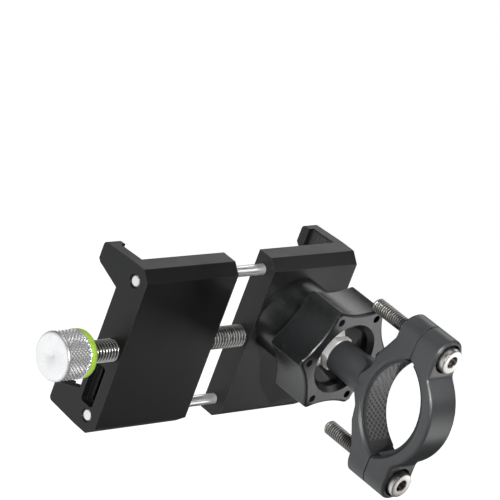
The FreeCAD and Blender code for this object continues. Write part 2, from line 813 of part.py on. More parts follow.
def jaw_body(label, side, inner):
    """One jaw: a plate behind the phone and a side wall with two claws. side is -1 for the moving jaw."""
    body = new_body(label)
    wall = new_sketch(body, label + "_wall", "YZ_Plane")
    half = [
        ("wall_edge", "wall_foot"),
        ("claw_heel", "claw_heel_height"),
        ("claw_tip", "claw_heel_height + claw_tip - claw_heel"),
        ("claw_tip", "jaw_half_height - claw_taper - jaw_corner", "jaw_corner", 1),
        ("claw_tip - jaw_corner", "jaw_half_height - claw_taper"),
        ("plate_front", "jaw_half_height"),
        ("plate_back + jaw_chamfer", "jaw_half_height"),
        ("plate_back", "jaw_half_height - jaw_chamfer"),
    ]
    outline(wall, mirrored(half))
    padded(body, wall, "wall_outer", reverse=side < 0)
    space = new_sketch(body, label + "_phone_space", "XY_Plane")
    reach = "wall_inner" if side > 0 else "- wall_inner"
    lip = "wall_inner - lip_length" if side > 0 else "- wall_inner + lip_length"
    outline(
        space,
        [
            ("0", "plate_front"),
            (reach, "plate_front"),
            (reach, "lip_start"),
            (lip, "lip_start"),
            (lip, "claw_tip + wide_margin"),
            ("0", "claw_tip + wide_margin"),
        ],
    )
    pocketed(body, space, "jaw_half_height + jaw_half_height + wide_margin", symmetric=True)
    gap = new_sketch(body, label + "_gap", "XY_Plane")
    edge = inner if side > 0 else negative(inner)
    behind = negative("1") if side > 0 else "1"
    outline(
        gap,
        [
            (behind, "plate_back - wide_margin"),
            (edge, "plate_back - wide_margin"),
            (edge, "plate_front + wide_margin"),
            (behind, "plate_front + wide_margin"),
        ],
    )
    pocketed(body, gap, "jaw_half_height + jaw_half_height + wide_margin", symmetric=True)
    return placed(body, "jaw_middle", "0", "jaw_height")


def face_pad(name, side, inner):
    """The flat pad behind the phone, and the recess it sits in."""
    start = f"jaw_middle + {inner} + face_pad_margin"
    if side < 0:
        start = "jaw_middle - wall_inner + face_pad_gap"
    width = f"wall_inner - face_pad_gap - {inner} - face_pad_margin"
    return box(
        name,
        (start, "plate_front - face_pad_depth", "jaw_height - face_pad_half_height"),
        (width, "face_pad_depth + face_pad_proud", "face_pad_half_height + face_pad_half_height"),
    )


def claw_pads(name, side):
    """The two rubber pads inside a jaw's claws, and the recesses they sit in."""
    pads = []
    places = {
        "upper": "jaw_height + jaw_half_height - claw_pad_margin - claw_pad_height",
        "lower": "jaw_height - jaw_half_height + claw_pad_margin",
    }
    if side > 0:
        across = "jaw_middle + wall_inner - claw_pad_proud"
    else:
        across = "jaw_middle - wall_inner - claw_pad_depth"
    for place, height in places.items():
        pads.append(
            box(
                f"{name}_{place}",
                (across, "claw_pad_start", height),
                (
                    "claw_pad_depth + claw_pad_proud",
                    "claw_pad_end - claw_pad_start",
                    "claw_pad_height",
                ),
            )
        )
    return collected(name, *pads)


def rod_holes(name, radius, start, length):
    """Both guide rod holes. start is along X."""
    return joined(
        name,
        cylinder(f"{name}_upper", radius, length, (start, "rod_depth", "jaw_height + rod_offset"), "x"),
        cylinder(f"{name}_lower", radius, length, (start, "rod_depth", "jaw_height - rod_offset"), "x"),
    )


def rod_mouth(name, height):
    """The bevel around a rod's hole in the moving jaw's wall."""
    mouth = doc.addObject("Part::Cone", name)
    mouth.setExpression("Radius1", formula("rod_hole + rod_mouth"))
    mouth.setExpression("Radius2", formula("rod_hole"))
    mouth.setExpression("Height", formula("rod_mouth"))
    mouth.Placement.Rotation = FreeCAD.Rotation(FreeCAD.Vector(0, 1, 0), 90)
    return placed(mouth, "jaw_middle - wall_outer", "rod_depth", height)


def moving_jaw():
    """The left jaw: slides on the rods, threaded for the screw, with a window below it."""
    jaw = jaw_body("moving_jaw_body", -1, "moving_inner")
    outer = "jaw_middle - wall_outer"
    thread = cylinder(
        "moving_thread", "screw_hole", "wall_outer", (outer, "screw_depth", "jaw_height"), "x"
    )
    window = box(
        "wall_window",
        (f"{outer} - cut_margin", "window_back", "jaw_height - window_bottom"),
        ("window_depth + cut_margin", "window_front - window_back", "window_bottom - window_top"),
    )
    pocket = box(
        "window_pocket",
        (outer, "window_back", "jaw_height - window_bottom + window_corner"),
        (
            "pocket_depth",
            "pocket_front - window_back",
            "window_bottom - window_top - window_corner - window_corner",
        ),
    )
    soft_window = doc.addObject("Part::Fillet", "soft_window")
    soft_window.Base = window
    doc.recompute()
    corners = [i for i, edge in enumerate(window.Shape.Edges, start=1) if along(edge, (1, 0, 0))]
    radius = value["window_corner"]
    soft_window.Edges = [(i, radius, radius) for i in corners]
    doc.recompute()
    tools = joined(
        "moving_tools",
        rod_holes("moving_rod_holes", "rod_hole", outer, "wall_outer"),
        thread,
        soft_window,
        pocket,
        rod_mouth("upper_rod_mouth", "jaw_height + rod_offset"),
        rod_mouth("lower_rod_mouth", "jaw_height - rod_offset"),
        face_pad("moving_recess", -1, "moving_inner"),
    )
    cleared = cut("moving_cleared", jaw, tools)
    return cut("moving_jaw", cleared, claw_pads("moving_claw_recess", -1))


def fixed_jaw():
    """The right jaw: holds the rods, the screw's bearing and the ball socket."""
    jaw = jaw_body("fixed_jaw_body", 1, "fixed_inner")
    inner = "jaw_middle + fixed_inner"
    outer = "jaw_middle + wall_outer"
    bearing = cylinder(
        "bearing", "journal_hole", "wall_outer", (inner, "screw_depth", "jaw_height"), "x"
    )
    bore = cylinder(
        "screw_bore",
        "screw_hole",
        "bearing_face - jaw_middle - fixed_inner",
        (inner, "screw_depth", "jaw_height"),
        "x",
    )
    clip_room = cylinder(
        "clip_room",
        "clip_recess_radius",
        f"{outer} - clip_recess_face + cut_margin",
        ("clip_recess_face", "screw_depth", "jaw_height"),
        "x",
    )
    rods = rod_holes("fixed_rod_holes", "rod_radius", inner, "rod_end - jaw_middle - fixed_inner")
    tools = joined(
        "fixed_tools",
        rods,
        bearing,
        bore,
        clip_room,
        face_pad("fixed_recess", 1, "fixed_inner"),
        socket_screw_tools("countersinks"),
    )
    cleared = cut("fixed_cleared", jaw, tools)
    return cut("fixed_jaw", cleared, claw_pads("fixed_claw_recess", 1))


def guide_rod(name, height):
    """A rod pressed into the fixed jaw; the moving jaw slides on it."""
    start = ("- rod_start", "rod_depth", height)
    return cylinder(name, "rod_radius", "rod_start + rod_end", start, "x")


# --- screw and knob ----------------------------------------------------------------------------------


def clamp_screw():
    """The M6 screw: blind in the knob, threaded in the moving jaw, turning in the fixed jaw."""
    body = new_body("clamp_screw")
    groove = "clip_recess_face + clip_gap"
    turned(
        body,
        "screw_section",
        "XY_Plane",
        [
            ("- knob_bore_end", "0"),
            ("journal_end", "0"),
            ("journal_end", "journal_radius - bolt_edge"),
            ("journal_end - bolt_edge", "journal_radius"),
            (groove + " + clip_thickness", "journal_radius"),
            (groove + " + clip_thickness", "clip_groove_radius"),
            (groove, "clip_groove_radius"),
            (groove, "journal_radius"),
            ("bearing_face - clip_gap", "journal_radius"),
            ("bearing_face - clip_gap", "screw_radius"),
            ("- knob_bore_end", "screw_radius"),
        ],
        "H_Axis",
    )
    return placed(body, "0", "screw_depth", "jaw_height")


def screw_clip():
    """The ring that holds the screw in the fixed jaw."""
    start = "clip_recess_face + clip_gap"
    ring = cut(
        "clip_ring",
        cylinder("clip_disc", "clip_radius", "clip_thickness", (start, "screw_depth", "jaw_height"), "x"),
        cylinder(
            "clip_eye",
            "clip_groove_radius",
            "clip_thickness + wide_margin",
            (start + " - cut_margin", "screw_depth", "jaw_height"),
            "x",
        ),
    )
    mouth = box(
        "clip_opening",
        (start + " - cut_margin", "screw_depth", "jaw_height - clip_mouth"),
        ("clip_thickness + wide_margin", "clip_radius + cut_margin", "clip_mouth + clip_mouth"),
    )
    return cut("screw_e_clip", ring, mouth)


def knob():
    """The knob: a blind bore for the screw and a hub that carries the bumper ring."""
    body = new_body("knob")
    turned(
        body,
        "knob_section",
        "XY_Plane",
        [
            ("- knob_outer", "0"),
            ("- knob_bore_end", "0"),
            ("- knob_bore_end", "screw_radius"),
            ("- knob_hub", "screw_radius"),
            ("- knob_hub", "knob_hub_radius"),
            ("- knob_shoulder", "knob_hub_radius"),
            ("- knob_shoulder", "knob_radius - knob_bevel"),
            ("- knob_shoulder - knob_bevel", "knob_radius"),
            ("- knob_outer + knob_bevel", "knob_radius"),
            ("- knob_outer", "knob_radius - knob_bevel"),
        ],
        "H_Axis",
    )
    return placed(body, "0", "screw_depth", "jaw_height")


def bumper_ring():
    """The rubber ring on the knob's hub, which meets the moving jaw at full opening."""
    return placed(
        torus("knob_o_ring", "bumper_mean", "bumper_section", "x"),
        "- knob_shoulder + bumper_section",
        "screw_depth",
        "jaw_height",
    )


# --- build, check, write -----------------------------------------------------------------------------

subparts = {
    "clamp_base": clamp_base(),
    "base_bar_pad": bar_pad("base_bar_pad", 1),
    "clamp_cap": clamp_cap(),
    "cap_bar_pad": bar_pad("cap_bar_pad", -1),
    "clamp_bolt_upper": clamp_bolt("clamp_bolt_upper", "bolt_offset"),
    "clamp_bolt_lower": clamp_bolt("clamp_bolt_lower", "- bolt_offset"),
    "ball_stud": ball_stud(),
    "seat_cup": seat_cup(),
    "preload_o_ring": preload_ring(),
    "ball_socket": ball_socket(),
    "socket_screws": socket_screws(),
    "seat_ring": seat_ring(),
    "collar_nut": collar_nut(),
    "fixed_jaw": fixed_jaw(),
    "fixed_face_pad": face_pad("fixed_face_pad", 1, "fixed_inner"),
    "fixed_claw_pads": claw_pads("fixed_claw_pads", 1),
    "guide_rod_upper": guide_rod("guide_rod_upper", "jaw_height + rod_offset"),
    "guide_rod_lower": guide_rod("guide_rod_lower", "jaw_height - rod_offset"),
    "moving_jaw": moving_jaw(),
    "moving_face_pad": face_pad("moving_face_pad", -1, "moving_inner"),
    "moving_claw_pads": claw_pads("moving_claw_pads", -1),
    "clamp_screw": clamp_screw(),
    "screw_e_clip": screw_clip(),
    "knob": knob(),
    "knob_o_ring": bumper_ring(),
}
doc.recompute()

problems = []
for item in doc.Objects:
    if "Invalid" in item.State or "Error" in item.State:
        problems.append(f"{item.Name}: {item.State}")
for name, item in subparts.items():
    item.Label = name
    if item.Shape.isNull() or not item.Shape.isValid():
        problems.append(f"{name}: its shape is null or not valid")
    elif not item.Shape.Solids:
        problems.append(f"{name}: it has no solid")
if problems:
    raise RuntimeError("; ".join(problems))

os.makedirs("parts", exist_ok=True)
for name, item in subparts.items():
    item.Shape.exportStep(os.path.join("parts", name + ".step"))
    bounds = item.Shape.BoundBox
    print(
        f"{name:18s} solids {len(item.Shape.Solids)} volume {item.Shape.Volume:9.1f}"
        f"  x {bounds.XMin:7.2f} {bounds.XMax:7.2f}"
        f"  y {bounds.YMin:7.2f} {bounds.YMax:7.2f}  z {bounds.ZMin:7.2f} {bounds.ZMax:7.2f}"
    )
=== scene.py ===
import json
import math

import bmesh
import bpy
from mathutils import Matrix, Vector

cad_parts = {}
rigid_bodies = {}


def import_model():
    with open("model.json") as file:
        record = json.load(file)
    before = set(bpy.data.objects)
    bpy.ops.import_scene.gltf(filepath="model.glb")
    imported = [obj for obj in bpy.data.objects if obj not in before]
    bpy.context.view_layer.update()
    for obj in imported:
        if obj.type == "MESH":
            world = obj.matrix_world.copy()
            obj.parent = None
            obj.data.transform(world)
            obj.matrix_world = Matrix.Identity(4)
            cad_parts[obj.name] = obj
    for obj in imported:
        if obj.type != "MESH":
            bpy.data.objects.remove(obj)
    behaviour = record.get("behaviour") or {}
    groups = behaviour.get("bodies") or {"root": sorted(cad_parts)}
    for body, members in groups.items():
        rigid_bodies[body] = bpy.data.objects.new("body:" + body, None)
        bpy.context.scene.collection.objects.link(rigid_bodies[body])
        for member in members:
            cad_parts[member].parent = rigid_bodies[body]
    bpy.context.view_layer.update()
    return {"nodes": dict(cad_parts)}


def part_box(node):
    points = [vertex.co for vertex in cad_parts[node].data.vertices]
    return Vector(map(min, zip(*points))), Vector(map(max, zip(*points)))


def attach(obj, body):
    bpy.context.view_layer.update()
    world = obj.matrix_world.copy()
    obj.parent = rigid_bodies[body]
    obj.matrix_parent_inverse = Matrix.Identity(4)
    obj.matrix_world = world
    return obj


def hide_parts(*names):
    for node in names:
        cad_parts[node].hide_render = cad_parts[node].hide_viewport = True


# Phone handlebar mount. Lengths are millimetres, except on the stage, where lights and floor are in
# metres; MM turns one into the other. X runs along the handlebar, Y towards the phone, Z up.

for item in list(bpy.data.objects):
    bpy.data.objects.remove(item)

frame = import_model()

MM = 0.001
TURN = 2 * math.pi
WELD = 0.002
FLAT_DEGREES = 0.8


def node_box(node):
    """A CAD node's lowest and highest corners in millimetres."""
    low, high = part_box(node)
    return low / MM, high / MM


# --- mesh helpers ---------------------------------------------------------------------------------


def finish_mesh(piece, sharp_degrees):
    """Smooth shading, with edges sharper than the angle kept crisp."""
    work = bmesh.new()
    work.from_mesh(piece.data)
    bmesh.ops.recalc_face_normals(work, faces=work.faces)
    for face in work.faces:
        face.smooth = True
    for edge in work.edges:
        edge.smooth = edge.calc_face_angle(0.0) < math.radians(sharp_degrees)
    work.to_mesh(piece.data)
    work.free()


def new_piece(name, points, faces, material, body, sharp_degrees=35):
    mesh = bpy.data.meshes.new(name)
    mesh.from_pydata([Vector(point) * MM for point in points], [], faces)
    piece = bpy.data.objects.new(name, mesh)
    bpy.context.scene.collection.objects.link(piece)
    mesh.materials.append(material)
    finish_mesh(piece, sharp_degrees)
    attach(piece, body)
    return piece


def dress(node, material):
    """Gives a carried-over CAD node its finish."""
    frame["nodes"][node].data.materials.clear()
    frame["nodes"][node].data.materials.append(material)


def softened(node, material, body, width, sharp_degrees=28):
    """A CAD part with its edges rounded over."""
    work = bmesh.new()
    work.from_mesh(frame["nodes"][node].data)
    bmesh.ops.remove_doubles(work, verts=work.verts, dist=WELD * MM)
    flat = math.radians(FLAT_DEGREES)
    bmesh.ops.dissolve_limit(work, angle_limit=flat, verts=work.verts, edges=work.edges)
    work.verts.index_update()
    points = [vertex.co / MM for vertex in work.verts]
    faces = [[vertex.index for vertex in face.verts] for face in work.faces]
    work.free()
    piece = new_piece(node + ".soft", points, faces, material, body, sharp_degrees)
    bevel = piece.modifiers.new("edges", "BEVEL")
    bevel.width = width * MM
    bevel.segments = 3
    bevel.limit_method = "ANGLE"
    bevel.angle_limit = math.radians(sharp_degrees)
    bevel.use_clamp_overlap = True
    bevel.harden_normals = False
    bevel.miter_outer = "MITER_ARC"
    weighted = piece.modifiers.new("normals", "WEIGHTED_NORMAL")
    weighted.keep_sharp = False
    weighted.weight = 80
    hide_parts(node)
    return piece


def frame_along(axis):
    """Two directions across an axis, so that (first, second, axis) is right-handed."""
    if axis == "x":
        return Vector((0, 1, 0)), Vector((0, 0, 1)), Vector((1, 0, 0))
    return Vector((0, 0, 1)), Vector((1, 0, 0)), Vector((0, 1, 0))


def store(piece, name, numbers):
    """Keeps one number per vertex for a material to read."""
    attribute = piece.data.attributes.new(name, "FLOAT", "POINT")
    attribute.data.foreach_set("value", numbers)


def folded(quad, heights):
    """Splits a quad along its lower diagonal, so that grooves between grid points stay straight."""
    a, b, c, d = quad
    if heights[a] + heights[c] <= heights[b] + heights[d]:
        return [(a, b, c), (a, c, d)]
    return [(a, b, d), (b, c, d)]


def lathed(
    name,
    node,
    axis,
    centre,
    profile,
    material,
    body,
    segments,
    sharp_degrees=35,
    fold=False,
    ring=False,
    root_shade=0.35,
):
    """A closed turned part. profile lists (place along the axis, radius); a radius may be a function
    of the angle, for threads, knurls and hexagons. With ring, the profile runs round a hole and ends
    where it starts. Each point's depth below its ring's crest is kept as groove, reaching 1 at the
    depth given by the last argument; materials read it to paint shade into the grooves."""
    first, second, forward = frame_along(axis)
    points, heights, grooves = [], [], []
    for place, radius in profile:
        angles = [TURN * i / segments for i in range(segments)]
        reaches = [radius(angle) if callable(radius) else radius for angle in angles]
        for angle, reach in zip(angles, reaches):
            across = first * math.cos(angle) + second * math.sin(angle)
            points.append(Vector(centre) + forward * place + across * reach)
        heights += reaches
        grooves += [min(1.0, (max(reaches) - reach) / root_shade) for reach in reaches]
    faces = []
    for level in range(len(profile) - 1 + ring):
        above = (level + 1) % len(profile)
        low, high = level * segments, above * segments
        patterned = callable(profile[level][1]) and callable(profile[above][1])
        for i in range(segments):
            j = (i + 1) % segments
            quad = (low + i, low + j, high + j, high + i)
            faces += folded(quad, heights) if fold and patterned else [quad]
    last = (len(profile) - 1) * segments
    if not ring:
        faces.append(tuple(range(segments - 1, -1, -1)))
        faces.append(tuple(range(last, last + segments)))
    piece = new_piece(name, points, faces, material, body, sharp_degrees)
    store(piece, "groove", grooves)
    if node:
        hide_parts(node)
    return piece


def round_corner(place, radius, size, outward):
    """Profile points of a quarter round at the edge (place, radius). outward tells whether the
    profile arrives on a face that grows outwards."""
    points = []
    steps = 4
    for step in range(steps + 1):
        angle = math.pi / 2 * step / steps
        if outward:
            shift, drop = 1 - math.cos(angle), 1 - math.sin(angle)
        else:
            shift, drop = math.sin(angle) - 1, 1 - math.cos(angle)
        points.append((place + size * shift, radius - size * drop))
    return points


def thread_wave(phase):
    """Depth of a metric thread, 0 at the crest and 1 at the root, with narrow flats at both."""
    crest, flank = 0.12, 0.72
    slope = abs(2 * (phase % 1.0) - 1)
    return min(1.0, max(0.0, (slope - crest) / flank))


def threaded(start, end, radius, pitch):
    """Profile rings of a right-handed outside thread that fades out at both ends."""
    samples = 10
    depth = 0.54 * pitch
    fade = 0.8 * pitch
    count = int(round((end - start) / pitch * samples))
    rings = []
    for step in range(count + 1):
        place = start + (end - start) * step / count
        strength = min(1.0, (place - start) / fade, (end - place) / fade)

        def reach(angle, place=place, strength=strength):
            return radius - depth * strength * thread_wave(place / pitch - angle / TURN)

        rings.append((place, reach))
    return rings


def hexagonal(flats):
    """Radius at an angle of a hexagon with a corner towards X."""
    return lambda angle: flats / 2 / math.cos((angle + TURN / 12) % (TURN / 6) - TURN / 12)


def relief_pad(name, node, place, count_u, count_v, material, body):
    """A rubber pad as a closed sheet. place(u, v, front) gives a point, for u and v from 0 to 1, and
    how far up a rib of its pattern the point lies, from 0 to 1."""
    points, heights = [], []
    for front in (True, False):
        for i in range(count_u + 1):
            for j in range(count_v + 1):
                *point, height = place(i / count_u, j / count_v, front)
                points.append(point)
                heights.append(height)
    row = count_v + 1
    sheet = (count_u + 1) * row
    depths = [-height for height in heights]
    faces = []
    for i in range(count_u):
        for j in range(count_v):
            corner = i * row + j
            quad = (corner, corner + row, corner + row + 1, corner + 1)
            faces += folded(quad, depths)
            faces.append(tuple(sheet + index for index in reversed(quad)))
    rim = [i * row for i in range(count_u)]
    rim += [count_u * row + j for j in range(count_v)]
    rim += [i * row + count_v for i in range(count_u, 0, -1)]
    rim += [j for j in range(count_v, 0, -1)]
    for index, here in enumerate(rim):
        there = rim[(index + 1) % len(rim)]
        faces.append((here, there, sheet + there, sheet + here))
    piece = new_piece(name, points, faces, material, body, 40)
    store(piece, "rib", heights)
    if node:
        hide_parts(node)
    return piece


# --- materials ------------------------------------------------------------------------------------


class Shader:
    """Builds one node material around a Principled shader."""

    def __init__(self, name, **settings):
        self.material = bpy.data.materials.new(name)
        self.material.use_nodes = True
        self.tree = self.material.node_tree
        self.surface = self.tree.nodes["Principled BSDF"]
        for label, number in settings.items():
            self.surface.inputs[label.replace("_", " ")].default_value = number
        self.place = self.node("ShaderNodeTexCoord").outputs["Object"]

    def node(self, kind, **inputs):
        made = self.tree.nodes.new(kind)
        for label, number in inputs.items():
            self.set(made.inputs[label.replace("_", " ")], number)
        return made

    def set(self, socket, number):
        if isinstance(number, bpy.types.NodeSocket):
            self.tree.links.new(number, socket)
        else:
            socket.default_value = number

    def stretched(self, scales):
        """Object coordinates per metre, with their own scale along each axis."""
        mapping = self.node("ShaderNodeMapping", Vector=self.place)
        mapping.inputs["Scale"].default_value = scales
        return mapping.outputs["Vector"]

    def noise(self, scale, detail=4.0, roughness=0.6, vector=None):
        made = self.node("ShaderNodeTexNoise", Scale=scale, Detail=detail, Roughness=roughness)
        self.set(made.inputs["Vector"], vector or self.place)
        return made.outputs["Fac"]

    def ranged(self, number, low, high, start=0.3, end=0.7):
        made = self.node("ShaderNodeMapRange", Value=number)
        made.inputs["From Min"].default_value = start
        made.inputs["From Max"].default_value = end
        made.inputs["To Min"].default_value = low
        made.inputs["To Max"].default_value = high
        return made.outputs["Result"]

    def mixed(self, factor, first, second):
        made = self.tree.nodes.new("ShaderNodeMix")
        made.data_type = "RGBA"
        self.set(made.inputs["Factor"], factor)
        self.set(made.inputs["A"], first)
        self.set(made.inputs["B"], second)
        return made.outputs["Result"]

    def stored(self, name):
        """A number kept with the mesh, 0 where it has none."""
        made = self.node("ShaderNodeAttribute")
        made.attribute_name = name
        return made.outputs["Fac"]

    def maths(self, operation, first, second):
        made = self.tree.nodes.new("ShaderNodeMath")
        made.operation = operation
        self.set(made.inputs[0], first)
        self.set(made.inputs[1], second)
        return made.outputs[0]

    def edges(self, radius_mm, start=0.02, end=0.35):
        """1 on outside edges: how far the rounded normal turns from the true one."""
        bevel = self.node("ShaderNodeBevel")
        bevel.samples = 4
        bevel.inputs["Radius"].default_value = radius_mm * MM
        true = self.node("ShaderNodeNewGeometry").outputs["Normal"]
        turned = self.tree.nodes.new("ShaderNodeVectorMath")
        turned.operation = "DOT_PRODUCT"
        self.set(turned.inputs[0], bevel.outputs["Normal"])
        self.set(turned.inputs[1], true)
        away = self.maths("SUBTRACT", 1.0, turned.outputs["Value"])
        return self.ranged(away, 0.0, 1.0, start, end)

    def bump(self, height, distance_mm, strength=1.0):
        made = self.node("ShaderNodeBump", Height=height, Strength=strength)
        made.inputs["Distance"].default_value = distance_mm * MM
        self.set(self.surface.inputs["Normal"], made.outputs["Normal"])

    def colour(self, number):
        self.set(self.surface.inputs["Base Color"], number)

    def roughness(self, number):
        self.set(self.surface.inputs["Roughness"], number)


def grey(level, warm=0.0):
    return (level * (1 + warm), level, level * (1 - warm), 1.0)


def anodised(name, level, warm, rough, bend):
    """Bead-blasted, anodised aluminium: a fine grain, faint clouds and slightly brighter edges."""
    shader = Shader(name, IOR=bend)
    clouds = shader.noise(90.0, detail=3.0)
    grain = shader.noise(9000.0, detail=2.0)
    cloudy = shader.mixed(
        shader.ranged(clouds, 0.0, 1.0), grey(level * 0.88, warm), grey(level * 1.12, warm)
    )
    speckled = shader.mixed(shader.ranged(grain, 0.0, 0.25), cloudy, grey(level * 1.4, warm))
    patches = shader.ranged(shader.noise(500.0), 0.15, 0.6, 0.35, 0.75)
    # Edges lighten in noisy patches: partly real wear to bare metal, partly a painted edge
    # highlight.
    wear_and_highlight = shader.maths("MULTIPLY", shader.edges(0.5, 0.01, 0.2), patches)
    wear_and_highlight_grey = grey(0.1, warm)
    shader.colour(shader.mixed(wear_and_highlight, speckled, wear_and_highlight_grey))
    soft = shader.ranged(clouds, rough - 0.03, rough + 0.04)
    fine = shader.ranged(grain, -0.05, 0.05)
    shader.roughness(shader.maths("ADD", soft, fine))
    shader.bump(grain, 0.012, 0.5)
    return shader.material


def turned_metal(name, level, warm, rough, axis, metal=1.0):
    """Machined steel with fine rings around its axis, a few stains and scratches, and painted shade
    that darkens the roots of threads and grooves.
    """
    shader = Shader(name, Metallic=metal)
    scales = {"x": (7000.0, 60.0, 60.0), "y": (60.0, 7000.0, 60.0)}[axis]
    rings = shader.noise(1.0, detail=2.0, roughness=0.5, vector=shader.stretched(scales))
    stains = shader.noise(260.0, detail=4.0)
    clean = shader.mixed(
        shader.ranged(stains, 0.0, 1.0), grey(level, warm), grey(level * 0.85, warm * 1.4)
    )
    # Painted shade: the stored groove depth darkens thread and groove roots towards near black.
    root_shade = shader.ranged(shader.stored("groove"), 0.0, 0.9, 0.15, 0.85)
    root_shade_grey = grey(0.03)
    shader.colour(shader.mixed(root_shade, clean, root_shade_grey))
    shader.roughness(
        shader.maths(
            "ADD",
            shader.ranged(stains, rough - 0.04, rough + 0.08),
            shader.ranged(rings, -0.05, 0.06),
        )
    )
    shader.bump(rings, 0.004, 0.2)
    return shader.material


def polished(name, level):
    """Ground steel with hairline scratches along X."""
    shader = Shader(name, Metallic=0.6)
    hair_scales = (150.0, 9000.0, 9000.0)
    hairs = shader.noise(1.0, detail=3.0, roughness=0.6, vector=shader.stretched(hair_scales))
    film = shader.noise(180.0, detail=3.0)
    clean, dull = grey(level, 0.01), grey(level * 0.9, 0.01)
    shader.colour(shader.mixed(shader.ranged(film, 0.0, 1.0), clean, dull))
    shader.roughness(
        shader.maths("ADD", shader.ranged(film, 0.2, 0.26), shader.ranged(hairs, -0.03, 0.06))
    )
    shader.bump(hairs, 0.003, 0.35)
    return shader.material


def bright_aluminium():
    """The knob: bright machined aluminium with turning rings on its flat end."""
    shader = Shader("bright_aluminium", Metallic=0.7)
    low, high = node_box("knob")
    middle = (low + high) / 2
    mapping = shader.node("ShaderNodeMapping", Vector=shader.place)
    mapping.inputs["Location"].default_value = (0, -middle.y * MM, -middle.z * MM)
    flat = shader.node("ShaderNodeSeparateXYZ", Vector=mapping.outputs["Vector"])
    ring = shader.maths(
        "SQRT",
        shader.maths(
            "ADD",
            shader.maths("POWER", flat.outputs["Y"], 2.0),
            shader.maths("POWER", flat.outputs["Z"], 2.0),
        ),
        0.0,
    )
    ring_pitch = 0.16 * MM
    grooves = shader.maths("SINE", shader.maths("MULTIPLY", ring, TURN / ring_pitch), 0.0)
    film = shader.noise(300.0, detail=3.0)
    clean = shader.mixed(shader.ranged(film, 0.0, 1.0), grey(0.96), grey(0.9))
    # Painted shade: the knurl's grooves, by their stored depth, are darkened towards grey.
    shade = shader.ranged(shader.stored("groove"), 0.0, 0.8, 0.35, 1.0)
    knurl_shade_grey = grey(0.5)
    shader.colour(shader.mixed(shade, clean, knurl_shade_grey))
    shader.roughness(shader.ranged(film, 0.2, 0.34))
    shader.bump(grooves, 0.002, 0.2)
    return shader.material


def rubber(name, colour, dark, rough, rib_highlight, grain_mm=0.15):
    """Moulded rubber: a fine skin, faint dust, a soft sheen, and raised ribs painted pale as a
    highlight.
    """
    shader = Shader(name, Sheen_Weight=0.12, Sheen_Roughness=0.5, IOR=1.45)
    skin = shader.noise(1.0 / (grain_mm * MM), detail=3.0)
    dust = shader.noise(140.0, detail=5.0)
    plain = shader.mixed(shader.ranged(dust, 0.0, 1.0), colour, dark)
    # Painted highlight: raised ribs, by their stored height, are lightened to pale grey.
    rib_highlight_mask = shader.ranged(shader.stored("rib"), 0.0, rib_highlight, 0.4, 1.0)
    rib_highlight_grey = grey(0.12)
    shader.colour(shader.mixed(rib_highlight_mask, plain, rib_highlight_grey))
    dusty = shader.ranged(dust, rough - 0.05, rough + 0.06)
    shader.roughness(shader.maths("ADD", dusty, shader.ranged(skin, -0.04, 0.04)))
    shader.bump(skin, 0.015, 0.5)
    return shader.material


def nylon():
    shader = Shader("black_nylon", IOR=1.53)
    grain = shader.noise(5000.0, detail=3.0)
    flow = shader.noise(120.0, detail=2.0)
    shader.colour(shader.mixed(shader.ranged(flow, 0.0, 1.0), grey(0.03), grey(0.042)))
    shader.roughness(shader.ranged(grain, 0.42, 0.58))
    shader.bump(grain, 0.01, 0.5)
    return shader.material


black = anodised("black_anodised", 0.012, 0.0, 0.4, 1.37)
satin_black = anodised("satin_black", 0.008, -0.06, 0.28, 1.6)
dark_grey = anodised("dark_grey_anodised", 0.045, -0.04, 0.38, 1.6)
stainless_x = turned_metal("stainless_screw", 0.7, 0.02, 0.28, "x")
stainless_y = turned_metal("stainless_bolts", 0.6, 0.035, 0.3, "y")
polished_steel = polished("polished_rods", 0.92)
stud_steel = turned_metal("satin_steel", 0.92, 0.03, 0.42, "y", 0.45)
spring_steel = turned_metal("spring_steel", 0.2, 0.0, 0.35, "x")
aluminium = bright_aluminium()
bright_lime, dull_lime = (0.5, 0.82, 0.06, 1), (0.45, 0.76, 0.05, 1)
lime = rubber("lime_rubber", bright_lime, dull_lime, 0.42, 0.0, 0.3)
soot, dust_grey = (0.022, 0.022, 0.023, 1), (0.034, 0.034, 0.034, 1)
black_rubber = rubber("black_rubber", soot, dust_grey, 0.5, 0.85)
black_nylon = nylon()


# --- handlebar clamp ------------------------------------------------------------------------------


softened("clamp_base", dark_grey, "clamp", 0.6)
softened("clamp_cap", dark_grey, "cap", 0.7)


def lattice(first, second, width):
    """Height, 0 to 1, of raised ribs along the whole numbers of first and of second."""
    near = min(abs(first - round(first)), abs(second - round(second)))
    return max(0.0, 1 - near / width)


def bar_pad(node, body, side):
    """A clamp liner: an arc of rubber whose inner face carries a raised lattice in a plain border.
    side is 1 for the base's and -1 for the cap's."""
    low, high = node_box(node)
    inner_radius, outer_radius, shift = 15.0, 16.8, 6.28
    slope, rib_gain, rib_width = 0.2, 1.3, 0.3
    half_width = (high.x - low.x) / 2
    reach = math.asin((high.z - low.z) / 2 / inner_radius)
    outer_reach = math.asin((high.z - low.z) / 2 / outer_radius)
    pitch, cells, depth, border, end = 1.7, 10, 0.5, 0.25, 2.2
    count_v = round(half_width * 2 / pitch * cells)
    count_u = round(inner_radius * reach * 2 / pitch * cells)

    def place(u, v, front):
        if not front:
            angle = outer_reach * (2 * u - 1)
            radius, rib = outer_radius, 0.0
        else:
            angle = reach * (2 * u - 1)
            arc = (u - 0.5) * count_u / cells
            across = (v - 0.5) * count_v / cells
            edge = half_width * (1 - abs(2 * v - 1)) - border
            finish = inner_radius * (reach - abs(angle)) - end
            inside = min(1.0, max(0.0, min(edge, finish) / slope))
            crossing = lattice(arc + across, arc - across, rib_width)
            rib = inside * min(1.0, rib_gain * crossing)
            radius = inner_radius + depth * (inside - rib)
        depth_y = side * (radius * math.cos(angle) - shift)
        return half_width * (2 * v - 1), depth_y, radius * math.sin(angle), rib

    name = node + ".knurled"
    relief_pad(name, node, place, count_u, count_v, black_rubber, body)


bar_pad("base_bar_pad", "clamp", 1)
bar_pad("cap_bar_pad", "cap", -1)


